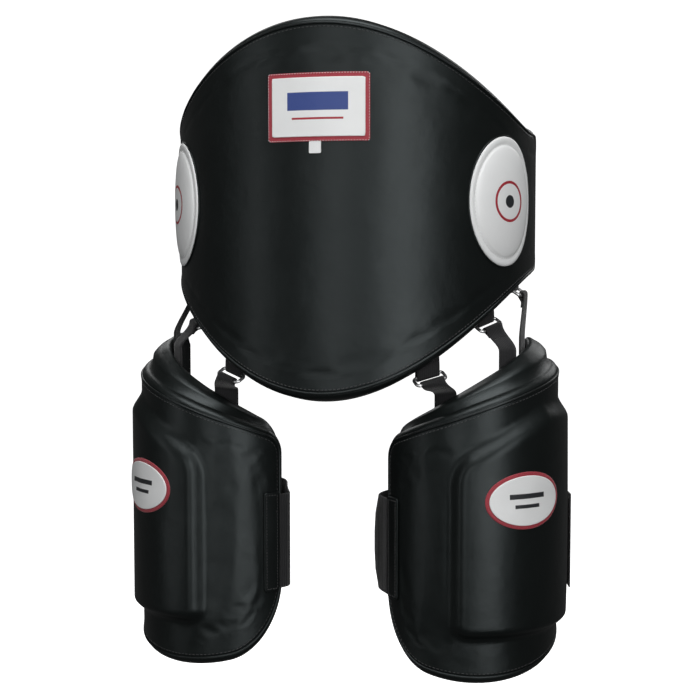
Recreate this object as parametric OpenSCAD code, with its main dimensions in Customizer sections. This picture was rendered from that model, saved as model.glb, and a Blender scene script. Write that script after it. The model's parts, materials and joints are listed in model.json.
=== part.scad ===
// Belly shield with two hanging thigh guards, for a coach holding pads in ring sports.
// Units are millimetres. +Z is up, the wearer's front faces -Y.
// The origin is the centre of the waist opening, level with the two side targets.

/* [Belly shield] */
// Half of the outside width across the waist
belly_half_w = 211; // [190:1:235]
// Distance from the waist centre to the outside of the front
belly_front_d = 187; // [160:1:210]
// Thickness of the padding and its two skins
belly_thick = 48; // [35:1:60]
// Height of the hump in the middle of the top edge
belly_top_z = 194; // [170:1:210]
// Height of the top edge at the two sides
belly_side_top_z = 88; // [70:1:110]
// Depth of the middle of the bottom edge
belly_low_z = 216; // [190:1:230]
// Depth of the bottom edge at the two sides
belly_side_low_z = 84; // [70:1:100]
// Angle from the front to each end of the shield
belly_end = 97; // [88:1:105]
// Radius of the four corners
belly_corner = 26; // [10:1:40]

/* [Targets and label] */
// Angle from the front to the middle of a side target
target_angle = 62; // [50:1:72]
// Width of a side target round the shield
target_w = 106; // [80:1:125]
// Height of a side target
target_h = 142; // [110:1:160]
// How far a side target bulges
target_bulge = 8; // [4:1:14]
// Width of the sewn label
label_w = 112; // [80:1:130]
// Height of the sewn label
label_h = 72; // [50:1:90]
// Height of the middle of the label
label_z = 97; // [70:1:120]
// Width of the red band round the label
label_band = 5; // [2:0.5:8]

/* [Thigh guards] */
// Sideways distance from the middle to a guard's axis
leg_x = 145; // [130:1:175]
// Distance of a guard's axis in front of the waist centre
leg_y = 58; // [30:1:80]
// Outside radius of the guard's padded base
leg_r = 100; // [90:1:115]
// Thickness of the guard's padded base
leg_thick = 36; // [25:1:45]
// Angle of the inner edge from the front, towards the other leg
leg_in = 60; // [45:1:75]
// Angle of the outer edge from the front, round the outside
leg_out = 122; // [100:1:135]
// Depth of the front of the guard's top edge
leg_top_z = 225; // [205:1:245]
// Depth of the lowest point of the guard
leg_low_z = 523; // [480:1:560]
// How far the raised block stands out of the base
block_h = 11; // [6:1:18]
// Depth of the bottom of the raised block
block_low_z = 475; // [440:1:500]
// Angle of the block's inner edge, towards the other leg
block_in = 5; // [0:1:20]
// Angle of the block's outer edge
block_out = 112; // [95:1:118]

/* [Thigh emblem] */
// Angle from the front to the middle of the oval emblem
emblem_angle = 42; // [25:1:50]
// Depth of the middle of the oval emblem
emblem_z = 321; // [300:1:350]
// Width of the oval emblem with its rim
emblem_w = 88; // [70:1:105]
// Height of the oval emblem with its rim
emblem_h = 62; // [45:1:75]
// Width of the rim that shows round the emblem
emblem_rim_w = 4; // [2:0.5:8]

/* [Hanging straps] */
// Width of the webbing
web_w = 27; // [20:1:38]
// Thickness of the webbing
web_t = 1.6; // [1:0.1:3]
// Thickness of the wire of a metal ring
wire_d = 3.6; // [2.5:0.1:5]
// Clear height inside a metal ring
ring_gap = 9; // [7:0.5:16]
// How far the front ring hangs below the shield's edge
front_drop = 15; // [12:1:32]
// How far the side ring hangs below the shield's edge
side_drop = 13; // [10:1:28]
// How far the rear ring hangs below the shield's edge
rear_drop = 12; // [10:1:28]

/* [Belt and leg closures] */
// Height of the waist belt
belt_h = 92; // [70:1:110]
// Thickness of the waist belt
belt_t = 5; // [3:0.5:8]
// Height of a leg closure strap
closure_h = 108; // [80:1:120]
// Thickness of a leg closure strap
closure_t = 2; // [1.5:0.5:4]
// Depth of the middle of a leg closure strap
closure_z = 383; // [360:1:410]
// How far the left leg's strap bows out past the inner edge of its guard
closure_bow_left = -11; // [-12:1:16]
// How far the right leg's strap bows out past the inner edge of its guard
closure_bow_right = 15; // [-12:1:16]

/* [Shown piece] */
// Name of the piece to draw, or all

/* [Hidden] */

leather = [0.05, 0.05, 0.055];
webbing = [0.08, 0.08, 0.08];
foam = [0.25, 0.25, 0.27];
white = [0.92, 0.92, 0.92];
red = [0.62, 0.10, 0.12];
metal = [0.80, 0.80, 0.82];
skin_t = 2;
gap = 0.6;
belly_steps = 40;
leg_steps = 28;
wire_r = wire_d / 2;
bar_len = web_w + 4;
loop_r = wire_r + 0.7 + web_t / 2;
tab_depth = -22;
anchor_start = 7 - leg_in;
flap_seam = -232;
flap_end = -262;
// Each hanger: angle on the shield, drop below the edge, angle on the guard, tilt of the bar
front_hanger = [35, front_drop, -18, 14];
side_hanger = [60, side_drop, 52, 14];
rear_hanger = [87, rear_drop, 84, 4];

// A point on the shield: angle from the front, distance out of the front surface, height
function belly_point(a, o, z) =
    let(nx = sin(a) / belly_half_w, ny = -cos(a) / belly_front_d, n = sqrt(nx * nx + ny * ny))
    [belly_half_w * sin(a) + o * nx / n, -belly_front_d * cos(a) + o * ny / n, z];

// A point on the right thigh guard, in the same terms
function leg_point(a, o, z) =
    [leg_x + (leg_r + o) * sin(a), -leg_y - (leg_r + o) * cos(a), z];

// kind 0 is the shield, kind 1 is the right thigh guard
function on(kind, a, o, z) = kind == 0 ? belly_point(a, o, z) : leg_point(a, o, z);

// Millimetres of surface for each degree
function per_degree(kind, a) = kind == 0
    ? sqrt(pow(belly_half_w * cos(a), 2) + pow(belly_front_d * sin(a), 2)) * PI / 180
    : leg_r * PI / 180;

function first_angle(kind, d) = kind == 0 ? -belly_end + d / 3.3 : -leg_in + d / 1.76;
function last_angle(kind, d) = kind == 0 ? belly_end - d / 3.3 : leg_out - d / 1.76;
function steps(kind) = kind == 0 ? belly_steps : leg_steps;

// Angles are closer together near the two ends, where the corners are
function angle_at(kind, i, d) =
    let(t = i / steps(kind), u = t - 0.7 * sin(360 * t) / (2 * PI))
    first_angle(kind, d) + u * (last_angle(kind, d) - first_angle(kind, d));

function drop(s, r) = s >= r ? 0 : r - sqrt(max(0, r * r - pow(r - max(0, s), 2)));
function bell(a, half) = abs(a) >= half ? 0 : 0.5 + 0.5 * cos(180 * a / half);
function from_start(kind, a, d) = (a - first_angle(kind, d)) * (kind == 0 ? 3.3 : 1.76);
function from_end(kind, a, d) = (last_angle(kind, d) - a) * (kind == 0 ? 3.3 : 1.76);

// The rim of a thigh guard is slanted: it is higher on the side next to the leg
function rim_rise(a, o) = (14 + min(16, 0.13 * (a + 60))) * min(1, max(0, -o / leg_thick));
function leg_crest(a) = -leg_top_z + (a < 0 ? 0.6 * a : 0.65 * a - 0.0018 * a * a);

function top_edge(kind, a, d, o) = kind == 0
    ? belly_side_top_z + (belly_top_z - belly_side_top_z) * pow(bell(a, 82), 0.76) - d
        - drop(from_start(0, a, d), max(6, belly_corner - d))
        - drop(from_end(0, a, d), max(6, belly_corner - d))
    : leg_crest(a) + rim_rise(a, o) - d
        - drop(from_start(1, a, d), max(6, 22 - d)) - drop(from_end(1, a, d), max(6, 24 - d));

function low_edge(kind, a, d) = kind == 0
    ? -belly_side_low_z - (belly_low_z - belly_side_low_z) * bell(a, 92) + d
        + drop(from_start(0, a, d), max(6, belly_corner - d))
        + drop(from_end(0, a, d), max(6, belly_corner - d))
    : -leg_low_z + 0.0045 * pow(a - 15, 2) + d
        + drop(from_start(1, a, d), max(6, 70 - d)) + drop(from_end(1, a, d), max(6, 40 - d));

// A closed solid through a row of rings, each with the same number of points
module loft(rings, wrap = false) {
    n = len(rings);
    m = len(rings[0]);
    points = [for (ring = rings) each ring];
    side = [for (i = [0 : n - (wrap ? 1 : 2)]) for (j = [0 : m - 1])
        let(a = i * m + j, b = i * m + (j + 1) % m)
        let(c = ((i + 1) % n) * m + (j + 1) % m, d = ((i + 1) % n) * m + j)
        each [[a, b, c], [a, c, d]]];
    last = (n - 1) * m;
    caps = wrap ? [] : [for (j = [1 : m - 2]) each [[0, j + 1, j], [last, last + j, last + j + 1]]];
    polyhedron(points, concat(side, caps), convexity = 6);
}

// A slab that follows the whole outline; the section lists [inset, offset], inside to outside
module outline_slab(kind, section) {
    count = len(section);
    d_max = max([for (s = section) s[0]]);
    loft([for (i = [0 : steps(kind)]) let(a = angle_at(kind, i, d_max))
        concat(
            [for (s = section) on(kind, a, s[1], low_edge(kind, a, s[0]))],
            [for (k = [count - 1 : -1 : 0]) let(s = section[k])
                on(kind, a, s[1], top_edge(kind, a, s[0], s[1]))])]);
}

// A band that runs all the way round the outline; the section is a closed polygon
module outline_band(kind, section) {
    n = steps(kind);
    loft([for (i = [0 : 2 * n + 1]) [for (s = section)
        let(top = i <= n, a = angle_at(kind, top ? i : 2 * n + 1 - i, s[0]))
        on(kind, a, s[1], top ? top_edge(kind, a, s[0], s[1]) : low_edge(kind, a, s[0]))]],
        wrap = true);
}

function tube(d, o, r, sides = 5) =
    [for (k = [0 : sides - 1]) [d + r * cos(360 * k / sides), o + r * sin(360 * k / sides)]];

// A padded oval on a curved surface; the profile lists [part of the width, offset]
module oval(kind, a0, z0, w, h, tilt, profile, sides = 26) {
    scale_a = 1 / (kind == 0 ? per_degree(0, a0) : (leg_r + block_h) * PI / 180);
    loft([for (p = profile) [for (j = [0 : sides - 1])
        let(x = p[0] * w / 2 * cos(360 * j / sides), y = -p[0] * h / 2 * sin(360 * j / sides))
        let(u = x * cos(tilt) - y * sin(tilt), v = x * sin(tilt) + y * cos(tilt))
        on(kind, a0 + u * scale_a, p[1], z0 + v)]]);
}

// A ring-shaped welt round an oval
module oval_welt(kind, a0, z0, w, h, o, r, sides = 26) {
    scale_a = 1 / per_degree(kind, a0);
    loft([for (j = [0 : sides - 1]) [for (k = [0 : 4])
        let(grow = r * cos(72 * k), rise = r * sin(72 * k))
        on(kind, a0 + (w / 2 + grow) * cos(360 * j / sides) * scale_a, o + rise,
            z0 + (h / 2 + grow) * sin(360 * j / sides))]],
        wrap = true);
}

// A flat piece bent round a surface, with straight edges
module bent_plate(kind, a1, a2, z1, z2, o1, o2, n) {
    loft([for (i = [0 : n]) let(a = a1 + (a2 - a1) * i / n)
        [on(kind, a, o1, z1), on(kind, a, o2, z1), on(kind, a, o2, z2), on(kind, a, o1, z2)]]);
}

// A flat strip along a path; each row is [middle, direction of the width, direction of the face]
module ribbon(rows, w, t) {
    loft([for (row = rows) [
        row[0] - row[1] * w / 2 + row[2] * t / 2,
        row[0] + row[1] * w / 2 + row[2] * t / 2,
        row[0] + row[1] * w / 2 - row[2] * t / 2,
        row[0] - row[1] * w / 2 - row[2] * t / 2]]);
}

function unit(v) = v / norm(v);

// Directions at a hanger: along the edge of the shield, out of the shield, and their normal
function edge_dir(h) =
    let(p = belly_point(h[0] + 1, 0, 0) - belly_point(h[0] - 1, 0, 0), u = unit(p))
    [u[0] * cos(h[3]), u[1] * cos(h[3]), sin(h[3])];
function out_dir(h) = unit(belly_point(h[0], 10, 0) - belly_point(h[0], 0, 0));
function down_dir(h) = cross(edge_dir(h), out_dir(h)) * (cross(edge_dir(h), out_dir(h))[2] > 0 ? -1 : 1);

// Middle of the ring's upper bar, and of its lower bar
function upper_bar(h) = belly_point(h[0], tab_depth, low_edge(0, h[0], 0) - h[1]);
function ring_dir(h) = unit(out_dir(h) * 0.84 + down_dir(h) * 0.55);
function lower_bar(h) = upper_bar(h) + ring_dir(h) * (ring_gap + wire_d);

// Direction of the shield's lower edge at a hanger
function low_dir(h) =
    unit(belly_point(h[0] + 1, 0, low_edge(0, h[0] + 1, 0))
        - belly_point(h[0] - 1, 0, low_edge(0, h[0] - 1, 0)));

// A short webbing tab sewn under the gusset, looped round the upper bar
module tab(h) {
    w = edge_dir(h);
    f = out_dir(h);
    d = down_dir(h);
    c = upper_bar(h);
    root = belly_point(h[0], tab_depth, low_edge(0, h[0], 0) - 2.4);
    turn = [for (k = [0 : 6]) let(g = 180 * k / 6)
        [c - f * loop_r * cos(g) + d * loop_r * sin(g), -w, -f * cos(g) + d * sin(g)]];
    ribbon(concat([[root - f * loop_r, -low_dir(h), -f]], turn,
        [[root + f * loop_r, -low_dir(h), f]]), web_w, web_t);
}

// A rectangular ring of round wire, hung on its upper bar
module metal_ring(h) {
    w = edge_dir(h);
    r = ring_dir(h);
    f = cross(w, r);
    c = upper_bar(h);
    len = bar_len - 4;
    high = ring_gap + wire_d;
    multmatrix([[w[0], r[0], f[0], c[0]], [w[1], r[1], f[1], c[1]], [w[2], r[2], f[2], c[2]]])
        union() {
            for (y = [0, high]) {
                translate([-len / 2, y, 0])
                    rotate([0, 90, 0])
                        cylinder(r = wire_r, h = len, $fn = 24);
            }
            for (s = [-1, 1]) {
                translate([s * (len / 2 + 4), 4, 0])
                    rotate([-90, 0, 0])
                        cylinder(r = wire_r, h = high - 8, $fn = 24);
                translate([s * len / 2, 4, 0])
                    rotate([0, 0, s > 0 ? -90 : 180])
                        rotate_extrude(angle = 90, $fn = 24)
                            translate([4, 0])
                                circle(r = wire_r, $fn = 24);
                translate([s * len / 2, high - 4, 0])
                    rotate([0, 0, s > 0 ? 0 : 90])
                        rotate_extrude(angle = 90, $fn = 24)
                            translate([4, 0])
                                circle(r = wire_r, $fn = 24);
            }
        }
}

function blend(p, q, t) = p * (1 - t) + q * t;
function curve(p, t) = pow(1 - t, 3) * p[0] + 3 * t * pow(1 - t, 2) * p[1]
    + 3 * t * t * (1 - t) * p[2] + t * t * t * p[3];

// A webbing strap from the lower bar of a ring to the inside of the thigh guard
module strap(h) {
    w = edge_dir(h);
    c = lower_bar(h);
    up = -down_dir(h);
    f = out_dir(h);
    rim_z = top_edge(1, h[2], 0, -leg_thick);
    reach = -leg_thick - 2.4 - web_t;
    in_f = [-sin(h[2]), cos(h[2]), 0];
    in_w = [cos(h[2]), sin(h[2]), 0];
    rim = leg_point(h[2], reach, rim_z + 3);
    sewn = leg_point(h[2], reach, rim_z - 30);
    front = c + f * loop_r;
    points = [front, front - up * 10, rim + [0, 0, 9], rim];
    turn = [for (k = [0 : 6]) let(g = 180 * k / 6)
        [c - f * loop_r * cos(g) + up * loop_r * sin(g), w, -f * cos(g) + up * sin(g)]];
    fall = [for (k = [1 : 9]) let(t = k / 9)
        [curve(points, t), unit(blend(w, in_w, t)), unit(blend(f, -in_f, t))]];
    tail = c - f * loop_r - up * 9;
    ribbon(concat([[tail, w, -f]], turn, fall, [[sewn, in_w, -in_f]]), web_w, web_t);
}

// Half of the waist belt: first the part sewn to the shield, then the free end
function belt_offset(a) = a < 108 ? -15 + 15 * sin(90 * (a - 97.9) / 10.1) : 0;
function lapped(a, out) = out * (a < 128 ? 0 : a > 150 ? 1 : 0.5 - 0.5 * cos(180 * (a - 128) / 22));
function belt_angle(i) = i < 6 ? 97.9 + i * 2 : 107.9 + (i - 5) * 4.05;
function belt_half(a) = belt_h / 2 - (a < 190 ? 0 : drop((204 - a) * 3.3, 30));

module belt(lap) {
    loft([for (i = [0 : 28]) let(a = belt_angle(i), o = belt_offset(a) + lapped(a, lap))
        let(h = belt_half(a))
        [belly_point(a, o - belt_t / 2, -h), belly_point(a, o + belt_t / 2, -h),
            belly_point(a, o + belt_t / 2, h), belly_point(a, o - belt_t / 2, h)]]);
}

function closure_offset(a) = lookup(a, [[-262, 14.9], [-240, 14.9], [-226, 11.5], [-212, 5],
    [-196, -4], [-180, -14], [-160, -23], [-140, -27], [-120, -27], [-104, -24], [-90, -17],
    [-77, -8], [-68, -1.5], [-61.8, 2.6], [-53.5, 2.6]]);

// Share of the bow at each angle
function bow_share(a) = lookup(a, [[-125, 0], [-110, 0.35], [-95, 0.8], [-82, 1], [-74, 0.9],
    [-68, 0.6], [-64, 0.22], [-61.8, 0]]);

module closure(a1, a2, z, h, o1, o2, n, bow = 0) {
    loft([for (i = [0 : n])
        let(a = a1 + (a2 - a1) * i / n, o = closure_offset(a) + bow * bow_share(a))
        [leg_point(a, o + o1, z - h / 2), leg_point(a, o + o2, z - h / 2),
            leg_point(a, o + o2, z + h / 2), leg_point(a, o + o1, z + h / 2)]]);
}

// The raised block: a slab with sloping sides that swells from its inner edge
function block_top(a) = min(leg_crest(a) - 47 + 0.4 * a, -216)
    - drop((a + block_in) * 1.9, 20) - drop((block_out - a) * 1.9, 14);
function block_low(a) = -block_low_z + drop((a + block_in) * 1.9, 26)
    + drop((block_out - a) * 1.9, 20);
function block_swell(a) = let(s = min((a + block_in) * 1.9, (block_out - a) * 1.9, 13) / 13)
    1.2 + (block_h - 1.2) * sin(90 * s);

module block() {
    n = 30;
    loft([for (i = [0 : n]) let(t = i / n, u = t - 0.75 * sin(360 * t) / (2 * PI))
        let(a = -block_in + u * (block_out + block_in), h = block_swell(a))
        let(top = block_top(a), low = block_low(a))
        [leg_point(a, gap, low), leg_point(a, gap + 0.25 * h, low),
            leg_point(a, gap + 0.75 * h, low + 4), leg_point(a, h, low + 12),
            leg_point(a, h, top - 17), leg_point(a, gap + 0.75 * h, top - 7),
            leg_point(a, gap + 0.25 * h, top), leg_point(a, gap, top)]]);
}

module belly_front_panel() {
    color(leather) outline_slab(0, [[11, -skin_t], [11, 0]]);
}

module belly_gusset() {
    t = belly_thick;
    color(leather) outline_band(0, [[7, -1.2], [2.2, -5.6], [0, -14], [0, -t + 13], [2.6, -t + 5],
        [7, -t + 1.4], [7, -t + 3.6], [2, -t + 13.5], [2, -14.6], [4, -7]]);
}

module belly_foam() {
    t = belly_thick;
    color(foam) outline_slab(0, [[11.5, -t + 3], [8, -t + 5], [2.9, -t + 15], [2.9, -15.5],
        [6.5, -7.6], [11.5, -skin_t - gap]]);
}

module belly_lining() {
    color(leather) outline_slab(0, [[3, -belly_thick - 0.4], [3, -belly_thick + 0.8]]);
}

module belly_piping() {
    color(leather) outline_band(0, tube(9, -0.7, 1.6));
}

module target_cover(side) {
    b = target_bulge;
    color(white) oval(0, side * target_angle, 0, target_w, target_h, 0,
        [[0.02, 0.9], [0.5, 0.9], [1, 0.9], [1, 2], [0.9, 2.3], [0.85, 3.2],
        [0.76, 0.7 * b], [0.55, 0.93 * b], [0.02, b]]);
}

module target_welt(side) {
    color(leather) oval_welt(0, side * target_angle, 0, target_w + 3.6, target_h + 3.6,
        1.6, 1.3);
}

module label_band_piece() {
    half = label_w / 2 / per_degree(0, 0);
    color(red) bent_plate(0, -half, half, label_z - label_h / 2, label_z + label_h / 2,
        0.6, 1.2, 8);
}

module label_panel() {
    half = (label_w / 2 - label_band) / per_degree(0, 0);
    high = label_h / 2 - label_band;
    color(white) bent_plate(0, -half, half, label_z - high, label_z + high, 1.6, 2.2, 8);
}

module size_tag() {
    low = label_z - label_h / 2;
    color(white) bent_plate(0, -2.6, 1.2, low - 13, low - 0.4, 0.5, 1.1, 2);
}

module leg_panel() {
    color(leather) outline_slab(1, [[10, -skin_t], [10, 0]]);
}

module leg_gusset() {
    t = leg_thick;
    color(leather) outline_band(1, [[6.4, -1.2], [2.2, -4.8], [0, -12], [0, -t + 11],
        [2.4, -t + 4.6], [6.4, -t + 1.4], [6.4, -t + 3.6], [2, -t + 11.5], [2, -12.6],
        [3.8, -6.2]]);
}

module leg_foam() {
    t = leg_thick;
    color(foam) outline_slab(1, [[10.5, -t + 3], [7.4, -t + 5], [2.9, -t + 13], [2.9, -13.6],
        [6, -7.2], [10.5, -skin_t - gap]]);
}

module leg_lining() {
    color(leather) outline_slab(1, [[3, -leg_thick - 0.4], [3, -leg_thick + 0.8]]);
}

module leg_piping() {
    color(leather) outline_band(1, tube(8.2, -0.7, 1.5));
}

module leg_block() {
    color(leather) block();
}

module emblem_rim() {
    o = block_h + 0.9;
    color(red) oval(1, emblem_angle, -emblem_z, emblem_w, emblem_h, 3,
        [[0.02, o], [0.5, o], [1, o], [1, o + 1], [0.5, o + 1], [0.02, o + 1]]);
}

module emblem() {
    o = block_h + 2.5;
    color(white) oval(1, emblem_angle, -emblem_z, emblem_w - 2 * emblem_rim_w,
        emblem_h - 2 * emblem_rim_w, 3,
        [[0.02, o], [0.5, o], [1, o], [1, o + 0.8], [0.5, o + 0.8], [0.02, o + 0.8]]);
}

module anchor_strip() {
    color(leather) bent_plate(1, anchor_start, anchor_start + 11, -closure_z - closure_h / 2 - 3,
        -closure_z + closure_h / 2 + 3, 0.6, 3, 4);
}

module closure_strap(bow) {
    color(webbing) closure(flap_seam + 0.4, anchor_start - 0.4, -closure_z, closure_h,
        -closure_t / 2, closure_t / 2, 36, bow);
}

module closure_flap() {
    color(webbing) closure(flap_end, flap_seam - 0.4, -closure_z, closure_h, -closure_t / 2,
        closure_t / 2, 6);
}

module closure_hook() {
    t = closure_t / 2;
    color(webbing) closure(flap_end + 2, flap_end + 21, -closure_z, closure_h - 12, -t - 1.3, -t - 0.3, 5);
}

module closure_loop() {
    o = block_h + 0.4;
    color(webbing) bent_plate(1, 99, 115, -closure_z - closure_h / 2 + 6,
        -closure_z + closure_h / 2 - 6, o, o + 0.8, 5);
}

module belt_wing_left() {
    color(webbing) mirror([1, 0, 0]) belt(9.4);
}

module belt_hook_panel() {
    color(webbing) mirror([1, 0, 0]) bent_plate(0, 162, 196, -belt_h / 2 + 6, belt_h / 2 - 6,
        9.4 - belt_t / 2 - 1.7, 9.4 - belt_t / 2 - 0.4, 10);
}

module belt_wing_right() {
    color(webbing) belt(0);
}

module belt_loop_panel() {
    color(webbing) bent_plate(0, 160, 198, -belt_h / 2 + 5, belt_h / 2 - 5,
        belt_t / 2 + 0.4, belt_t / 2 + 1.8, 10);
}

module left_side() {
    mirror([1, 0, 0]) children();
}

belly_front_panel();
belly_gusset();
belly_foam();
belly_lining();
belly_piping();
target_cover(-1);  // target_cover_left
target_welt(-1);  // target_welt_left
target_cover(1);  // target_cover_right
target_welt(1);  // target_welt_right
label_band_piece();  // label_band
label_panel();
size_tag();
color(webbing) left_side() tab(front_hanger);  // tab_front_left
color(webbing) left_side() tab(side_hanger);  // tab_side_left
color(webbing) left_side() tab(rear_hanger);  // tab_rear_left
color(webbing) tab(front_hanger);  // tab_front_right
color(webbing) tab(side_hanger);  // tab_side_right
color(webbing) tab(rear_hanger);  // tab_rear_right
color(metal) left_side() metal_ring(front_hanger);  // ring_front_left
color(metal) left_side() metal_ring(side_hanger);  // ring_side_left
color(metal) left_side() metal_ring(rear_hanger);  // ring_rear_left
color(metal) metal_ring(front_hanger);  // ring_front_right
color(metal) metal_ring(side_hanger);  // ring_side_right
color(metal) metal_ring(rear_hanger);  // ring_rear_right
belt_wing_left();
belt_hook_panel();
belt_wing_right();
belt_loop_panel();
left_side() leg_panel();  // leg_panel_left
left_side() leg_gusset();  // leg_gusset_left
left_side() leg_foam();  // leg_foam_left
left_side() leg_lining();  // leg_lining_left
left_side() leg_piping();  // leg_piping_left
left_side() leg_block();  // leg_block_left
left_side() emblem_rim();  // emblem_rim_left
left_side() emblem();  // emblem_left
left_side() anchor_strip();  // anchor_strip_left
left_side() closure_strap(closure_bow_left);  // closure_strap_left
left_side() closure_flap();  // closure_flap_left
left_side() closure_hook();  // closure_hook_left
left_side() closure_loop();  // closure_loop_left
color(webbing) left_side() strap(front_hanger);  // strap_front_left
color(webbing) left_side() strap(side_hanger);  // strap_side_left
color(webbing) left_side() strap(rear_hanger);  // strap_rear_left
leg_panel();  // leg_panel_right
leg_gusset();  // leg_gusset_right
leg_foam();  // leg_foam_right
leg_lining();  // leg_lining_right
leg_piping();  // leg_piping_right
leg_block();  // leg_block_right
emblem_rim();  // emblem_rim_right
emblem();  // emblem_right
anchor_strip();  // anchor_strip_right
closure_strap(closure_bow_right);  // closure_strap_right
closure_flap();  // closure_flap_right
closure_hook();  // closure_hook_right
closure_loop();  // closure_loop_right
color(webbing) strap(front_hanger);  // strap_front_right
color(webbing) strap(side_hanger);  // strap_side_right
color(webbing) strap(rear_hanger);  // strap_rear_right
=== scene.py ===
"""Looks for a belly shield with two hanging thigh guards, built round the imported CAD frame.

Shapes are worked out in millimetres and degrees, as in the CAD source, and scaled to metres
when a mesh is made. Angles run round an upright axis, with 0 at the front.
"""

import json
import math

import bmesh
import bpy
import numpy as np
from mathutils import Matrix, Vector


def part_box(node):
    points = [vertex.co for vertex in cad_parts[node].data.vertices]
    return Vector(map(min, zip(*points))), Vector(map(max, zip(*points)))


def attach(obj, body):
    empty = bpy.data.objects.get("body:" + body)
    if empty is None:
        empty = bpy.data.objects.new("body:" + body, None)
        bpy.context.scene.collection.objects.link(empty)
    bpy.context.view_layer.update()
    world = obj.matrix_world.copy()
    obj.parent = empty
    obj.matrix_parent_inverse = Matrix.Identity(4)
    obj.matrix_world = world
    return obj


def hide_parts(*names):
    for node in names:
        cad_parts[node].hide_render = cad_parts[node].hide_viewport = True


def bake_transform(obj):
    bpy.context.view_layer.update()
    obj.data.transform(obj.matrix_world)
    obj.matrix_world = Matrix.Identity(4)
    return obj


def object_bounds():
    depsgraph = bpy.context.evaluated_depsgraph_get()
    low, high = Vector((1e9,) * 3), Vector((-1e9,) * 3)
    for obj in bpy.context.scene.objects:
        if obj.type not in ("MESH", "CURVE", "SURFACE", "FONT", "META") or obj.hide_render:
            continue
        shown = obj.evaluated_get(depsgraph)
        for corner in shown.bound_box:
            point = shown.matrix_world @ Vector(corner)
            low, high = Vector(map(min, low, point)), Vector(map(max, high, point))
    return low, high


MM = 0.001
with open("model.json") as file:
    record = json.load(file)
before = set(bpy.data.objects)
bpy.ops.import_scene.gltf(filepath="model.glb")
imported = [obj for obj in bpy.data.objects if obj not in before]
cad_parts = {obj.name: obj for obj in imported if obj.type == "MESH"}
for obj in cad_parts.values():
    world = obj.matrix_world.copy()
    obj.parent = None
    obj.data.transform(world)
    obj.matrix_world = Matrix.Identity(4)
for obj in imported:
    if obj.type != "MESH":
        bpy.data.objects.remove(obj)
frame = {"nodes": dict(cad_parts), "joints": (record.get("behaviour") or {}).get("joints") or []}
cad_low, cad_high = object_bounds()
joints = {j["name"]: j for j in frame["joints"]}

# ---------------------------------------------------------------- camera, lights and floor

CAMERA_AZIMUTH = 13.08
CAMERA_HEIGHT = 3.81
CAMERA_DISTANCE = 1.5996
CAMERA_TARGET = Vector((-0.0082, 0, -0.17204))
CAMERA_LENS = 68.25
FLOOR_Z = cad_low.z - 0.32


def make_camera():
    data = bpy.data.cameras.new("camera")
    data.lens = CAMERA_LENS
    data.sensor_width = 36
    camera = bpy.data.objects.new("camera", data)
    az, el = math.radians(CAMERA_AZIMUTH), math.radians(CAMERA_HEIGHT)
    back = Vector((math.sin(az) * math.cos(el), -math.cos(az) * math.cos(el), math.sin(el)))
    camera.location = CAMERA_TARGET + back * CAMERA_DISTANCE
    camera.rotation_mode = "QUATERNION"
    camera.rotation_quaternion = (-back).to_track_quat("-Z", "Y")
    bpy.context.scene.collection.objects.link(camera)
    bpy.context.scene.camera = camera


def area_light(name, azimuth, height, distance, width, tall, power):
    """A soft box that faces the middle of the object."""
    data = bpy.data.lights.new(name, "AREA")
    data.shape = "RECTANGLE"
    data.size = width
    data.size_y = tall
    data.energy = power
    light = bpy.data.objects.new(name, data)
    az, el = math.radians(azimuth), math.radians(height)
    away = Vector((math.sin(az) * math.cos(el), -math.cos(az) * math.cos(el), math.sin(el)))
    light.location = CAMERA_TARGET + away * distance
    light.rotation_mode = "QUATERNION"
    light.rotation_quaternion = (-away).to_track_quat("-Z", "Y")
    bpy.context.scene.collection.objects.link(light)


def make_lights():
    area_light("key_right", 34, 6, 2.4, 1.1, 2.6, 28)
    area_light("front", -4, 4, 2.9, 0.9, 2.2, 13)
    area_light("strip_left", -50, 8, 2.3, 0.3, 2.4, 5)
    area_light("top", 10, 68, 2.2, 1.8, 1.2, 36)
    area_light("back_left", -150, 32, 2.6, 1.2, 1.4, 9)
    area_light("back_right", 150, 32, 2.6, 1.2, 1.4, 9)


def make_floor():
    """A white floor that curves up into a backdrop on every side."""
    flat, rise, sides = 4.0, 3.0, 96
    profile = [(0.0, 0.0), (flat, 0.0)]
    profile += [(flat + rise * math.sin(g), rise * (1 - math.cos(g)))
                for g in np.linspace(0.1, math.pi / 2, 14)]
    profile.append((flat + rise, 9.0))
    verts = [(r * math.cos(k), r * math.sin(k), FLOOR_Z + z)
             for r, z in profile[1:] for k in np.linspace(0, 2 * math.pi, sides, endpoint=False)]
    rows = len(profile) - 1
    faces = [(i * sides + j, i * sides + (j + 1) % sides,
              (i + 1) * sides + (j + 1) % sides, (i + 1) * sides + j)
             for i in range(rows - 1) for j in range(sides)]
    faces.append(tuple(range(sides - 1, -1, -1)))
    mesh = bpy.data.meshes.new("floor")
    mesh.from_pydata(verts, [], faces)
    for polygon in mesh.polygons:
        polygon.use_smooth = len(polygon.vertices) == 4
    floor = bpy.data.objects.new("floor", mesh)
    bpy.context.scene.collection.objects.link(floor)
    material = bpy.data.materials.new("floor")
    material.use_nodes = True
    shader = material.node_tree.nodes["Principled BSDF"]
    shader.inputs["Base Color"].default_value = (0.9, 0.9, 0.9, 1)
    shader.inputs["Roughness"].default_value = 0.9
    shader.inputs["Emission Color"].default_value = (1, 1, 1, 1)
    shader.inputs["Emission Strength"].default_value = 1.05
    mesh.materials.append(material)
    floor.visible_glossy = False
    floor.visible_diffuse = False


def make_world():
    world = bpy.data.worlds.new("studio")
    bpy.context.scene.world = world
    world.use_nodes = True
    world.node_tree.nodes["Background"].inputs["Color"].default_value = (1, 1, 1, 1)
    world.node_tree.nodes["Background"].inputs["Strength"].default_value = 0.07
    bpy.context.scene.view_settings.view_transform = "Standard"


# ---------------------------------------------------------------- materials

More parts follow.
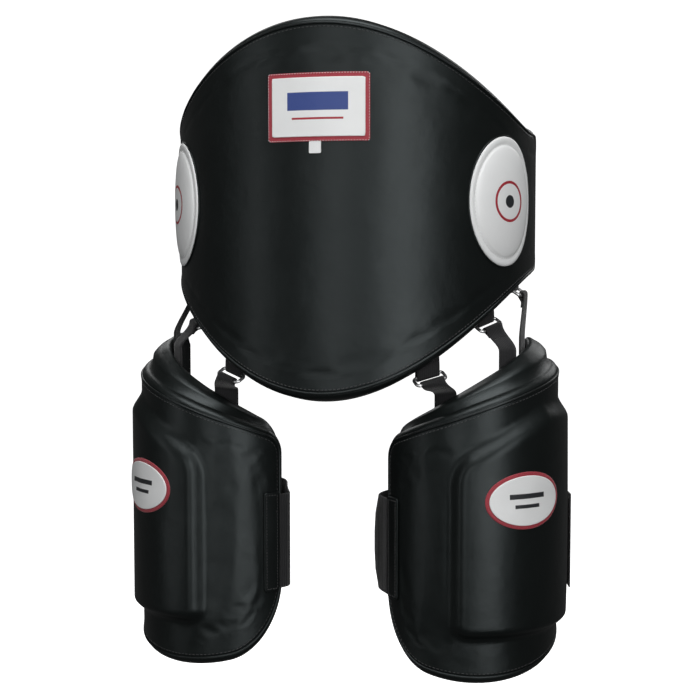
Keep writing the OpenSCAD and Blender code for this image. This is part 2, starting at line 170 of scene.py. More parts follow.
class Nodes:
    """Short calls for a material's node tree."""

    def __init__(self, name):
        self.material = bpy.data.materials.new(name)
        self.material.use_nodes = True
        self.tree = self.material.node_tree
        self.shader = self.tree.nodes["Principled BSDF"]
        self.place = self.new("ShaderNodeTexCoord").outputs["Object"]

    def new(self, kind, **values):
        node = self.tree.nodes.new(kind)
        for key, value in values.items():
            setattr(node, key, value)
        return node

    def link(self, a, b):
        self.tree.links.new(a, b)

    def set(self, **values):
        for key, value in values.items():
            self.shader.inputs[key.replace("_", " ")].default_value = value

    def noise(self, scale, detail=3.0, rough=0.5, vector=None):
        node = self.new("ShaderNodeTexNoise")
        node.inputs["Scale"].default_value = scale
        node.inputs["Detail"].default_value = detail
        node.inputs["Roughness"].default_value = rough
        self.link(vector or self.place, node.inputs["Vector"])
        return node.outputs["Fac"]

    def cells(self, scale, vector=None):
        node = self.new("ShaderNodeTexVoronoi", feature="DISTANCE_TO_EDGE")
        node.inputs["Scale"].default_value = scale
        self.link(vector or self.place, node.inputs["Vector"])
        return node.outputs["Distance"]

    def math(self, operation, a, b=None, clamp=False):
        node = self.new("ShaderNodeMath", operation=operation, use_clamp=clamp)
        for socket, value in zip(node.inputs, (a, b)):
            if value is None:
                continue
            if isinstance(value, (int, float)):
                socket.default_value = value
            else:
                self.link(value, socket)
        return node.outputs[0]

    def between(self, value, low, high):
        """value from 0 to 1, spread from low to high."""
        node = self.new("ShaderNodeMapRange")
        node.inputs["To Min"].default_value = low
        node.inputs["To Max"].default_value = high
        self.link(value, node.inputs["Value"])
        return node.outputs["Result"]

    def ramp(self, value, stops):
        node = self.new("ShaderNodeValToRGB")
        elements = node.color_ramp.elements
        while len(elements) < len(stops):
            elements.new(0.5)
        for element, (position, colour) in zip(elements, stops):
            element.position = position
            element.color = (*colour, 1)
        self.link(value, node.inputs["Fac"])
        return node.outputs["Color"]

    def mix(self, factor, a, b):
        node = self.new("ShaderNodeMix", data_type="RGBA")
        self.link(factor, node.inputs["Factor"])
        for socket, value in ((node.inputs[6], a), (node.inputs[7], b)):
            if isinstance(value, tuple):
                socket.default_value = (*value, 1)
            else:
                self.link(value, socket)
        return node.outputs[2]

    def colour(self, value):
        self.link(value, self.shader.inputs["Base Color"])

    def roughness(self, value):
        self.link(value, self.shader.inputs["Roughness"])

    def bumps(self, *layers):
        """Each layer is a height and how deep it is in metres."""
        normal = None
        for height, depth in layers:
            node = self.new("ShaderNodeBump")
            node.inputs["Distance"].default_value = depth
            self.link(height, node.inputs["Height"])
            if normal is not None:
                self.link(normal, node.inputs["Normal"])
            normal = node.outputs["Normal"]
        self.link(normal, self.shader.inputs["Normal"])

    def uv(self):
        return self.new("ShaderNodeUVMap", uv_map="flat").outputs["UV"]

    def split(self, vector):
        node = self.new("ShaderNodeSeparateXYZ")
        self.link(vector, node.inputs["Vector"])
        return node.outputs["X"], node.outputs["Y"]


COOL = (0.86, 0.98, 1.0, 1.0)


def leather(name, dark, light, rough_low, rough_high, coat=0.05, grain=0.00010, spec=0.33):
    n = Nodes(name)
    tone = n.noise(9, 4, 0.6)
    n.colour(n.ramp(tone, [(0.3, dark), (0.72, light)]))
    wear = n.noise(26, 6, 0.65)
    n.roughness(n.between(wear, rough_low, rough_high))
    n.bumps((n.noise(22, 3, 0.5), 0.0012), (n.cells(950), grain), (n.noise(2600, 2), grain * 0.4))
    n.set(Specular_IOR_Level=spec, Specular_Tint=COOL, Coat_Weight=coat, Coat_Roughness=0.22)
    return n.material


def webbing(name, colour, high, ribs_along, ribs_across, depth):
    """Woven tape: ribs across it, broken up by the lengthwise yarns. The UV map is in metres."""
    n = Nodes(name)
    across, along = n.split(n.uv())
    weft = n.math("SINE", n.math("MULTIPLY", along, 2 * math.pi * ribs_along))
    warp = n.math("SINE", n.math("MULTIPLY", across, 2 * math.pi * ribs_across))
    weave = n.math("ADD", n.math("MULTIPLY", weft, 0.3), n.math("MULTIPLY", warp, 0.2))
    height = n.math("ADD", weave, 0.5)
    fuzz = n.noise(1500, 2)
    n.colour(n.mix(n.math("MULTIPLY", height, fuzz, clamp=True), colour, high))
    n.roughness(n.between(n.noise(60, 3), 0.62, 0.86))
    n.bumps((height, depth), (fuzz, 0.0001))
    n.set(Sheen_Weight=0.25, Sheen_Roughness=0.4, Specular_IOR_Level=0.35)
    return n.material


def nap(name, colour, high, scale):
    n = Nodes(name)
    fibre = n.noise(scale, 4, 0.7)
    n.colour(n.ramp(fibre, [(0.35, colour), (0.75, high)]))
    n.roughness(n.between(n.noise(90), 0.8, 0.98))
    n.bumps((fibre, 0.0006), (n.cells(scale * 0.4), 0.0004))
    n.set(Sheen_Weight=0.5, Sheen_Roughness=0.5, Specular_IOR_Level=0.2)
    return n.material


def steel(name):
    n = Nodes(name)
    n.colour(n.ramp(n.noise(140, 4), [(0.3, (0.74, 0.75, 0.76)), (0.7, (0.92, 0.92, 0.93))]))
    n.roughness(n.between(n.noise(420, 4, 0.7), 0.28, 0.42))
    n.bumps((n.noise(900, 3), 0.00003))
    n.set(Metallic=1.0)
    return n.material


def thread(name, colour, high):
    n = Nodes(name)
    n.colour(n.ramp(n.noise(1800, 3), [(0.3, colour), (0.7, high)]))
    n.roughness(n.between(n.noise(300), 0.45, 0.75))
    n.bumps((n.noise(3000, 2), 0.00008))
    n.set(Sheen_Weight=0.3)
    return n.material


def printed(name, ground, parts, rough=0.35, scale=1.0):
    """White leather or satin printed with plain shapes. Each part is a mask maker and a colour."""
    n = Nodes(name)
    across, up = n.split(n.uv())
    cloud = n.ramp(n.noise(14, 4), [(0.3, tuple(c * 0.93 for c in ground)), (0.75, ground)])
    result = cloud
    for mask, colour in parts:
        result = n.mix(mask(n, across, up), result, colour)
    n.colour(result)
    n.roughness(n.between(n.noise(40, 4), rough, rough + 0.16))
    n.bumps((n.noise(30, 3), 0.0006 * scale), (n.cells(900), 0.00006 * scale))
    n.set(Coat_Weight=0.1, Coat_Roughness=0.35)
    return n.material


def ring_mask(radius, width, stretch=1.0):
    """A ring centred on the piece, radius and width in metres."""
    def make(n, across, up):
        tall = n.math("DIVIDE", up, stretch)
        square = n.math("ADD", n.math("MULTIPLY", across, across), n.math("MULTIPLY", tall, tall))
        off = n.math("ABSOLUTE", n.math("SUBTRACT", n.math("SQRT", square), radius))
        return n.math("LESS_THAN", off, width / 2)
    return make


def bar_mask(centre, size):
    """An upright rectangle of that size round that centre, in metres."""
    def make(n, across, up):
        inside = []
        for value, middle, width in zip((across, up), centre, size):
            off = n.math("ABSOLUTE", n.math("SUBTRACT", value, middle))
            inside.append(n.math("LESS_THAN", off, width / 2))
        return n.math("MULTIPLY", *inside)
    return make


RED = (0.36, 0.018, 0.032)
NAVY = (0.03, 0.06, 0.24)
INK = (0.02, 0.022, 0.025)
PAPER = (0.82, 0.83, 0.83)


def make_materials():
    return {
        "cover": leather("cover_leather", (0.0030, 0.0040, 0.0038), (0.0052, 0.0064, 0.0061),
                         0.29, 0.40),
        "edge": leather("edge_leather", (0.0030, 0.0038, 0.0037), (0.0050, 0.0060, 0.0058),
                        0.32, 0.44),
        "lining": leather("lining_leather", (0.008, 0.0085, 0.009), (0.015, 0.0155, 0.016),
                          0.55, 0.7, 0.0, 0.0003),
        "target": printed("target_leather", PAPER,
                          [(ring_mask(0.021, 0.003), RED), (ring_mask(0.0, 0.014), INK)]),
        "label": printed("label_satin", PAPER,
                         [(bar_mask((0, 0.006), (0.066, 0.019)), NAVY),
                          (bar_mask((0, -0.012), (0.056, 0.0022)), RED)], 0.5),
        "plain": printed("tag_satin", PAPER, [], 0.55),
        "emblem": printed("emblem_leather", PAPER,
                          [(bar_mask((0, 0.005), (0.040, 0.0055)), INK),
                           (bar_mask((0, -0.006), (0.028, 0.0040)), INK)]),
        "trim": thread("red_trim", (0.25, 0.012, 0.025), (0.42, 0.03, 0.05)),
        "webbing": webbing("webbing", (0.008, 0.008, 0.009), (0.03, 0.03, 0.032), 700, 420, 0.0003),
        "elastic": webbing("elastic", (0.010, 0.010, 0.011), (0.028, 0.028, 0.03), 330, 800,
                           0.0005),
        "hook": nap("hook_tape", (0.010, 0.010, 0.011), (0.035, 0.035, 0.037), 1100),
        "loop": nap("loop_tape", (0.013, 0.013, 0.014), (0.045, 0.045, 0.047), 700),
        "steel": steel("ring_steel"),
        "black_thread": thread("black_thread", (0.012, 0.012, 0.013), (0.035, 0.035, 0.037)),
        "white_thread": thread("white_thread", (0.55, 0.55, 0.55), (0.8, 0.8, 0.79)),
    }


# ---------------------------------------------------------------- meshes

def mesh_object(name, verts, faces, material, uvs=None):
    """verts are in millimetres; uvs are metres across and along the piece, one for each vertex."""
    mesh = bpy.data.meshes.new(name)
    points = (np.asarray(verts, float) * MM).tolist()
    mesh.from_pydata(points, [], [list(map(int, f)) for f in faces])
    mesh.validate()
    for polygon in mesh.polygons:
        polygon.use_smooth = True
    mesh.materials.append(material)
    if uvs is not None:
        layer = mesh.uv_layers.new(name="flat")
        for loop in mesh.loops:
            layer.data[loop.index].uv = uvs[loop.vertex_index]
    piece = bpy.data.objects.new(name, mesh)
    bpy.context.scene.collection.objects.link(piece)
    return piece


def recalculate(piece):
    """Turns every face outwards."""
    work = bmesh.new()
    work.from_mesh(piece.data)
    bmesh.ops.recalc_face_normals(work, faces=work.faces)
    work.to_mesh(piece.data)
    work.free()


def loft(rings, closed=False, capped=True):
    """Vertices and faces of a skin through rows of equal rings."""
    rings = np.asarray(rings, float)
    rows, sides = rings.shape[:2]
    faces = [(i * sides + j, i * sides + (j + 1) % sides,
              ((i + 1) % rows) * sides + (j + 1) % sides, ((i + 1) % rows) * sides + j)
             for i in range(rows if closed else rows - 1) for j in range(sides)]
    if capped and not closed:
        faces.append(tuple(range(sides - 1, -1, -1)))
        faces.append(tuple((rows - 1) * sides + j for j in range(sides)))
    return rings.reshape(-1, 3), faces


def directions(points, closed):
    points = np.asarray(points, float)
    if closed:
        step = np.roll(points, -1, 0) - np.roll(points, 1, 0)
    else:
        step = np.gradient(points, axis=0)
    return step / np.linalg.norm(step, axis=1)[:, None]


def tube(points, ups, radius, sides=10, closed=True):
    """A round bead along points; ups are roughly square to it."""
    points, ups = np.asarray(points, float), np.asarray(ups, float)
    along = directions(points, closed)
    side = np.cross(along, ups)
    side /= np.linalg.norm(side, axis=1)[:, None]
    up = np.cross(side, along)
    turn = np.linspace(0, 2 * math.pi, sides, endpoint=False)
    rings = [[p + radius * (math.cos(g) * s + math.sin(g) * u) for g in turn]
             for p, s, u in zip(points, side, up)]
    return loft(rings, closed)


def tape(rows, width, thick, corner=0.35):
    """A flat band with rounded edges. Each row is its middle, its width direction and its face."""
    half, t = width / 2, thick / 2
    c = min(corner * thick, half * 0.5)
    section = [(-half + c, t), (half - c, t), (half, t - c), (half, -t + c),
               (half - c, -t), (-half + c, -t), (-half, -t + c), (-half, t - c)]
    inner = [(x, t) for x in np.linspace(-half + c, half - c, 6)[1:-1]]
    section = [section[0]] + inner + section[1:5] + [(-x, -y) for x, y in inner] + section[5:]
    rings, uvs, run, before = [], [], 0.0, None
    for middle, across, face in rows:
        middle, across, face = (np.asarray(v, float) for v in (middle, across, face))
        if before is not None:
            run += np.linalg.norm(middle - before)
        before = middle
        rings.append([middle + across * x + face * y for x, y in section])
        uvs += [(x * MM, run * MM) for x, _ in section]
    verts, faces = loft(rings)
    return verts, faces, uvs


def stitches(name, points, ups, material, pitch=4.6, length=3.2, radius=0.42, closed=True):
    """A row of thread stitches, sunk a little in the surface that points lie on."""
    points, ups = np.asarray(points, float), np.asarray(ups, float)
    ends = np.vstack([points, points[:1]]) if closed else points
    tops = np.vstack([ups, ups[:1]]) if closed else ups
    run = np.concatenate([[0], np.cumsum(np.linalg.norm(np.diff(ends, axis=0), axis=1))])
    count = max(2, int(run[-1] / pitch))
    verts, faces = [], []
    shape = [(-0.5, -0.6, 0.3), (-0.32, 0.25, 0.85), (0.0, 0.55, 1.0), (0.32, 0.25, 0.85),
             (0.5, -0.6, 0.3)]
    for k in range(count):
        middle = (k + 0.5) * run[-1] / count
        at = [np.interp(middle + s * length, run, ends[:, i])
              for s in (-0.5, 0, 0.5) for i in range(3)]
        first, centre, last = np.array(at[:3]), np.array(at[3:6]), np.array(at[6:])
        along = (last - first) / (np.linalg.norm(last - first) + 1e-9)
        up = np.array([np.interp(middle, run, tops[:, i]) for i in range(3)])
        side = np.cross(along, up)
        side /= np.linalg.norm(side) + 1e-9
        up = np.cross(side, along)
        start = len(verts)
        for part, rise, size in shape:
            for g in np.linspace(0, 2 * math.pi, 6, endpoint=False):
                verts.append(centre + along * part * length + up * (rise * radius)
                             + radius * size * (math.cos(g) * side + math.sin(g) * up))
        for i in range(len(shape) - 1):
            for j in range(6):
                a, b = start + i * 6 + j, start + i * 6 + (j + 1) % 6
                faces.append((a, b, b + 6, a + 6))
        faces.append(tuple(start + j for j in range(5, -1, -1)))
        faces.append(tuple(start + (len(shape) - 1) * 6 + j for j in range(6)))
    piece = mesh_object(name, verts, faces, material)
    recalculate(piece)
    return piece


# ---------------------------------------------------------------- curved pads

def graded(count, strength):
    """0 to 1, closer together at both ends."""
    t = np.linspace(0, 1, count)
    return t - strength * np.sin(2 * math.pi * t) / (2 * math.pi)


def drop(s, r):
    """How far a rounded corner of radius r falls at s past its end."""
    s = np.clip(s, 0, r)
    return r - np.sqrt(np.maximum(0, r * r - (r - s) ** 2))


def bell(a, half):
    return np.where(np.abs(a) >= half, 0, 0.5 + 0.5 * np.cos(np.radians(180 * a / half)))


class Pad:
    """A padded panel bent round an upright axis. point(a, o, z): angle, offset out, height."""

    columns, rows, wall_rows = 150, 84, 7
    edge_round = 11.0
    seam_inset = 9.0
    wall_bulge = 1.6

    def tops(self, a, o):
        raise NotImplementedError

    def inset(self, a, z):
        """Distance inside the outline, measured on the unrolled front."""
        s = self.arc(a).ravel()
        z = z.ravel()
        best = np.full(len(s), 1e9)
        first = self.outline
        last = np.roll(first, -1, 0)
        span = last - first
        length = np.maximum((span ** 2).sum(1), 1e-9)
        for chunk in np.array_split(np.arange(len(s)), max(1, len(s) // 1500)):
            rel = np.stack([s[chunk], z[chunk]], 1)[:, None, :] - first[None]
            t = np.clip((rel * span).sum(2) / length, 0, 1)
            gap = np.linalg.norm(rel - t[..., None] * span, axis=2)
            best[chunk] = gap.min(1)
        return best.reshape(a.shape)

    def edge_offset(self, d, depth, reach):
        """A rounded edge: depth back at the outline, flat from reach inwards."""
        x = np.clip(d / reach, 0, 1)
        return -depth * (1 - np.sqrt(np.maximum(0, 1 - (1 - x) ** 2)))

    def build(self):
        self.angles = self.first + graded(self.columns, 0.8) * (self.last - self.first)
        self.parts = graded(self.rows, 0.72)
        a, t = np.meshgrid(self.angles, self.parts)
        low, top = self.lows(a), self.tops(a, 0)
        z = low + (top - low) * t
        self.outline = self.trace(a, z)
        d = self.inset(a, z)
        self.front = self.edge_offset(d, self.front_roll, self.edge_round) + self.raised(a, z)
        seam = np.exp(-((d - self.seam_inset) / 1.7) ** 2)
        self.front = self.front - 0.9 * seam
        self.back = -self.thick - self.edge_offset(d, self.back_roll, self.edge_round)
        self.grid_a, self.grid_t, self.grid_d = a, t, d
        self.grid_z = z

    def trace(self, a, z):
        """The outline on the unrolled front."""
        return self.rim(np.stack([self.arc(a), z], 2))

    def rim(self, grid):
        """The border of a grid as one loop, without repeats."""
        return np.concatenate([grid[0, :-1], grid[:-1, -1], grid[-1, :0:-1], grid[:0:-1, 0]])

    def skin(self, a, z, lift=0.0):
        """Points on the finished front at angle a and height z."""
        a, z = np.broadcast_arrays(np.asarray(a, float), np.asarray(z, float))
        low, top = self.lows(a), self.tops(a, 0)
        t = (z - low) / np.maximum(top - low, 1e-6)
        i = np.clip(np.interp(t, self.parts, np.arange(self.rows)), 0, self.rows - 1.001)
        j = np.clip(np.interp(a, self.angles, np.arange(self.columns)), 0, self.columns - 1.001)
        i0, j0 = i.astype(int), j.astype(int)
        u, v = i - i0, j - j0
        f = self.front
        o = (f[i0, j0] * (1 - u) * (1 - v) + f[i0 + 1, j0] * u * (1 - v)
             + f[i0, j0 + 1] * (1 - u) * v + f[i0 + 1, j0 + 1] * u * v)
        return self.point(a, o + lift, z)

    def inset_loop(self, d, count=420):
        """Angles and heights of a line that runs d inside the outline."""
        loop = self.outline
        step = np.linalg.norm(np.roll(loop, -1, 0) - loop, axis=1)
        run = np.concatenate([[0], np.cumsum(step)])
        closed = np.vstack([loop, loop[:1]])
        at = np.linspace(0, run[-1], count, endpoint=False)
        path = np.stack([np.interp(at, run, closed[:, k]) for k in (0, 1)], 1)
        along = directions(path, True)
        inward = np.stack([-along[:, 1], along[:, 0]], 1)
        path = path + inward * d
        for _ in range(6):
            path = 0.5 * path + 0.25 * (np.roll(path, 1, 0) + np.roll(path, -1, 0))
        return self.angle_of(path[:, 0]), path[:, 1]

    def outward(self, a):
        out = self.point(a, 1.0, 0.0 * a) - self.point(a, 0.0, 0.0 * a)
        return out / np.linalg.norm(out, axis=-1)[..., None]

    def settle(self, pressure, slack, cap, keep_flat=()):
        """Puffs the front skin out between its seams with a cloth simulation, and keeps the
        part of the movement that is square to the surface. keep_flat lists patches sewn on."""
        rest = self.point(self.grid_a, self.front, self.grid_z)
        free = np.clip((self.grid_d - 14) / 16, 0, 1)
        faces = grid_faces(self.rows, self.columns)
        moved = simulate_skin(rest.reshape(-1, 3), faces, 1 - free.ravel(), pressure, slack)
        out = self.outward(self.grid_a).reshape(-1, 3)
        rise = ((moved - rest.reshape(-1, 3)) * out).sum(1).reshape(self.grid_a.shape)
        rise = np.clip(rise, -cap * 0.6, cap) * free
        for a, z, wide, tall in keep_flat:
            s = (self.arc(self.grid_a) - self.arc(np.array(a))) / (wide / 2)
            reach = np.maximum(np.abs(s), np.abs(self.grid_z - z) / (tall / 2))
            rise = rise * np.clip((reach - 0.95) / 0.35, 0, 1)
        self.front = self.front + rise

    def pad_mesh(self):
        """The whole cover, closed: front, wall and back."""
        a, t = self.grid_a, self.grid_t
        low = self.lows(a)
        front = self.point(a, self.front, low + (self.tops(a, 0) - low) * t)
        back = self.point(a, self.back, low + (self.tops(a, self.back) - low) * t)
        edge = np.stack([self.arc(a), self.grid_z], 2)
        loop = self.rim(edge)
        along = directions(loop, True)
        outward = np.stack([along[:, 1], -along[:, 0]], 1)
        rim_a, rim_t = self.rim(a[..., None])[:, 0], self.rim(t[..., None])[:, 0]
        start = self.rim(self.front[..., None])[:, 0]
        end = self.rim(self.back[..., None])[:, 0]
        rows = []
        for k in range(1, self.wall_rows):
            u = k / self.wall_rows
            o = start + (end - start) * u
            swell = self.wall_bulge * math.sin(math.pi * u)
            angle = self.angle_of(self.arc(rim_a) + outward[:, 0] * swell)
            low_k = self.lows(rim_a)
            z = low_k + (self.tops(rim_a, o) - low_k) * rim_t + outward[:, 1] * swell
            rows.append(self.point(angle, o, z))
        grid = self.rows * self.columns
        ids = np.arange(grid).reshape(self.rows, self.columns)
        ring = self.rim(ids[..., None])[:, 0]
        n = len(ring)
        verts = [front.reshape(-1, 3), *rows, back.reshape(-1, 3)]
        loops = [ring] + [grid + k * n + np.arange(n) for k in range(len(rows))]
        back_start = grid + len(rows) * n
        loops.append(back_start + ring)
        faces = grid_faces(self.rows, self.columns)
        for upper, lower in zip(loops, loops[1:]):
            faces += list(zip(upper, lower, np.roll(lower, -1), np.roll(upper, -1)))
        flipped = [tuple(back_start + i for i in reversed(f))
                   for f in grid_faces(self.rows, self.columns)]
        return np.vstack(verts), faces + flipped


def grid_faces(rows, columns):
    return [(i * columns + j, i * columns + j + 1, (i + 1) * columns + j + 1, (i + 1) * columns + j)
            for i in range(rows - 1) for j in range(columns - 1)]


def simulate_skin(points, faces, held, pressure, slack):
    """Steps Blender's cloth on a copy of a skin whose seams are held, and returns its points."""
    piece = mesh_object("settling", points, faces, bpy.data.materials.new("settling"))
    group = piece.vertex_groups.new(name="held")
    for index, weight in enumerate(held):
        if weight > 0:
            group.add([index], float(weight), "REPLACE")
    cloth = piece.modifiers.new("cloth", "CLOTH")
    settings = cloth.settings
    settings.quality = 5
    settings.mass = 0.4
    settings.tension_stiffness = 40
    settings.compression_stiffness = 40
    settings.shear_stiffness = 20
    settings.bending_stiffness = 2.5
    settings.use_pressure = True
    settings.uniform_pressure_force = pressure
    settings.shrink_min = -slack
    settings.shrink_max = -slack
    settings.vertex_group_mass = "held"
    settings.effector_weights.gravity = 0
    cloth.collision_settings.use_collision = False
    cloth.point_cache.frame_start = 1
    cloth.point_cache.frame_end = 20
    scene = bpy.context.scene
    for step in range(1, 21):
        scene.frame_set(step)
    shown = piece.evaluated_get(bpy.context.evaluated_depsgraph_get())
    moved = np.array([v.co for v in shown.data.vertices], float) / MM
    scene.frame_set(1)
    bpy.data.objects.remove(piece)
    return moved


class Shield(Pad):
    """The belly shield: half an oval round the waist."""

    columns, rows = 168, 96
    thick = 48.0
    front_roll, back_roll = 14.0, 13.0
    side_top, side_low = 88.0, -84.0
    corner = 26.0
    end = 97.0

    def __init__(self):
        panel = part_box("belly_front_panel")
        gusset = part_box("belly_gusset")
        self.half_w = panel[1].x / MM
        self.front_d = -panel[0].y / MM
        self.top_z = gusset[1].z / MM
        self.low_z = gusset[0].z / MM
        self.first, self.last = -self.end, self.end
        fine = np.linspace(-130, 210, 3401)
        flat = self.point(fine, 0.0, 0.0 * fine)
        run = np.concatenate([[0], np.cumsum(np.linalg.norm(np.diff(flat, axis=0), axis=1))])
        self.table_a, self.table_s = fine, run - np.interp(0, fine, run)
        self.build()

    def point(self, a, o, z):
        a, o, z = np.broadcast_arrays(*(np.asarray(v, float) for v in (a, o, z)))
        r = np.radians(a)
        nx, ny = np.sin(r) / self.half_w, -np.cos(r) / self.front_d
        n = np.hypot(nx, ny)
        return np.stack([self.half_w * np.sin(r) + o * nx / n,
                         -self.front_d * np.cos(r) + o * ny / n, z], -1)

    def arc(self, a):
        return np.interp(a, self.table_a, self.table_s)

    def angle_of(self, s):
        return np.interp(s, self.table_s, self.table_a)

    def corners(self, a):
        s = self.arc(a)
        return (drop(s - self.arc(self.first), self.corner)
                + drop(self.arc(self.last) - s, self.corner))

    def tops(self, a, o):
        hump = (self.top_z - self.side_top) * bell(a, 82) ** 0.76
        return self.side_top + hump - self.corners(a)

    def lows(self, a):
        return self.side_low + (self.low_z - self.side_low) * bell(a, 92) + self.corners(a)

    def raised(self, a, z):
        return 0.0 * a


class Guard(Pad):
    """A thigh guard. side is 1 for the right of the picture and -1 for the left."""

    columns, rows = 150, 110
    radius = 100.0
    thick = 36.0
    front_roll, back_roll = 12.0, 11.0
    first, last = -60.0, 122.0
    block_in, block_out = -5.0, 112.0
    block_h = 11.0
    block_low = -475.0

    def __init__(self, side):
        self.side = side
        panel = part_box("leg_panel_right")
        self.x = panel[1].x / MM - self.radius
        self.y = panel[0].y / MM + self.radius
        self.top_front = -225.0
        self.low_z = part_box("leg_gusset_right")[0].z / MM
        self.build()

    def point(self, a, o, z):
        a, o, z = np.broadcast_arrays(*(np.asarray(v, float) for v in (a, o, z)))
        r = np.radians(a)
        return np.stack([self.side * (self.x + (self.radius + o) * np.sin(r)),
                         self.y - (self.radius + o) * np.cos(r), z], -1)

    def arc(self, a):
        return np.radians(a) * self.radius

    def angle_of(self, s):
        return np.degrees(s / self.radius)

    def crest(self, a):
        return self.top_front + np.where(a < 0, 0.6 * a, 0.65 * a - 0.0018 * a * a)

    def tops(self, a, o):
        lean = (14 + np.minimum(16, 0.13 * (a + 60))) * np.clip(-np.asarray(o) / self.thick, 0, 1)
        s = self.arc(a)
        return (self.crest(a) + lean - drop(s - self.arc(self.first), 22)
                - drop(self.arc(self.last) - s, 24))

    def lows(self, a):
        s = self.arc(a)
        return (self.low_z + 0.0045 * (a - 15) ** 2 + drop(s - self.arc(self.first), 70)
                + drop(self.arc(self.last) - s, 40))

    def raised(self, a, z):
        """The raised block, moulded in the cover, with rounded corners and a wide slope above."""
        top = np.minimum(self.crest(a) - 47 + 0.4 * a, -216)
        s = self.arc(a)
        round_r, slope, top_slope, low_slope = 24.0, 18.0, 24.0, 14.0
        sideways = np.minimum(s - self.arc(self.block_in), self.arc(self.block_out) - s)
        upright = np.minimum((top - z) * slope / top_slope,
                             (z - self.block_low) * slope / low_slope)
        x, y = np.maximum(0, round_r - sideways), np.maximum(0, round_r - upright)
        step = np.clip((round_r - np.hypot(x, y)) / slope, 0, 1)
        return self.block_h * step * step * (3 - 2 * step)


# ---------------------------------------------------------------- the shield's pieces

def edge_pieces(pad, name, body, looks, node):
    """Piping over the front seam, with a row of stitches inside it."""
    a, z = pad.inset_loop(pad.seam_inset)
    line = pad.skin(a, z, 0.5)
    verts, faces = tube(line, pad.outward(a), 1.6)
    piping = mesh_object(name + "_piping", verts, faces, looks["edge"])
    recalculate(piping)
    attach(piping, body)
    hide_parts(node)
    a, z = pad.inset_loop(pad.seam_inset + 4)
    row = stitches(name + "_stitching", pad.skin(a, z, 0.0), pad.outward(a), looks["black_thread"])
    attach(row, body)


def cover(pad, name, body, looks, nodes, lining_node):
    verts, faces = pad.pad_mesh()
    piece = mesh_object(name + "_cover", verts, faces, looks["cover"])
    recalculate(piece)
    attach(piece, body)
    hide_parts(*nodes)
    lining(pad, name, body, looks, lining_node)


# The lining's share of the back, how far it stands proud and how far it is let in
LINING_SHARE, LINING_PROUD, LINING_SUNK = 0.955, 0.7, 1.0


def lining(pad, name, body, looks, node):
    """A grained panel over the whole back, inside the turned edge."""
    a, t = pad.grid_a, pad.grid_t
    shrink = 0.5 + (t - 0.5) * LINING_SHARE
    mid = (pad.first + pad.last) / 2
    near = mid + (a - mid) * LINING_SHARE
    low, o = pad.lows(near), pad.back
    z = low + (pad.tops(near, o) - low) * shrink
    outer = pad.point(near, -pad.thick - LINING_PROUD, z)
    inner_side = pad.point(near, -pad.thick + LINING_SUNK, z)
    count = pad.rows * pad.columns
    ring = pad.rim(np.arange(count).reshape(pad.rows, pad.columns)[..., None])[:, 0]
    faces = grid_faces(pad.rows, pad.columns)
    faces += [tuple(count + i for i in reversed(f)) for f in grid_faces(pad.rows, pad.columns)]
    faces += list(zip(ring, count + ring, count + np.roll(ring, -1), np.roll(ring, -1)))
    verts = np.vstack([outer.reshape(-1, 3), inner_side.reshape(-1, 3)])
    piece = mesh_object(name + "_lining", verts, faces, looks["lining"])
    recalculate(piece)
    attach(piece, body)
    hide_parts(node)


def oval_piece(pad, name, a0, z0, width, height, profile, material, sides=96):
    """A closed oval dome on the skin. The profile lists part of the width and how far it lifts."""
    turn = np.linspace(0, 2 * math.pi, sides, endpoint=False)
    s0 = pad.arc(np.array(a0))
    rings, uvs = [], []
    for part, lift in profile:
        x, y = part * width / 2 * np.cos(turn), part * height / 2 * np.sin(turn)
        rings.append(pad.skin(pad.angle_of(s0 + x), z0 + y, lift))
        uvs += [(u * MM, v * MM) for u, v in zip(x, y)]
    verts, faces = loft(rings)
    piece = mesh_object(name, verts, faces, material, uvs)
    recalculate(piece)
    return piece


def oval_line(pad, a0, z0, width, height, lift, count=160):
    turn = np.linspace(0, 2 * math.pi, count, endpoint=False)
    a = pad.angle_of(pad.arc(np.array(a0)) + width / 2 * np.cos(turn))
    return pad.skin(a, z0 + height / 2 * np.sin(turn), lift), pad.outward(a)


TARGET_ANGLE, TARGET_W, TARGET_H, TARGET_BULGE = 62.0, 106.0, 142.0, 8.0


def make_target(pad, side, looks):
    name = "right" if side > 0 else "left"
    bulge = [(part, 1.9 + (TARGET_BULGE - 1.9) * math.sqrt(max(0, 1 - (part / 0.87) ** 2.4)))
             for part in (0.855, 0.83, 0.8, 0.75, 0.68, 0.6, 0.5, 0.4, 0.3, 0.2, 0.1, 0.004)]
    profile = [(0.004, 0.3), (0.6, 0.3), (0.99, 0.2), (1.0, 0.9), (0.995, 1.9), (0.97, 2.5),
               (0.93, 2.6), (0.9, 2.3), (0.875, 1.6)] + bulge
    piece = oval_piece(pad, "target_pad_" + name, side * TARGET_ANGLE, 0, TARGET_W, TARGET_H,
                       profile, looks["target"])
    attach(piece, "shield")
    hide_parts("target_cover_" + name)
    line, ups = oval_line(pad, side * TARGET_ANGLE, 0, TARGET_W + 1.6, TARGET_H + 1.6, 0.3)
    verts, faces = tube(line, ups, 1.0)
    welt = mesh_object("target_seam_" + name, verts, faces, looks["edge"])
    recalculate(welt)
    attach(welt, "shield")
    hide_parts("target_welt_" + name)
    line, ups = oval_line(pad, side * TARGET_ANGLE, 0, TARGET_W * 0.875, TARGET_H * 0.875, 1.7)
    row = stitches("target_stitching_" + name, line, ups, looks["white_thread"], 4.0, 2.8, 0.35)
    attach(row, "shield")


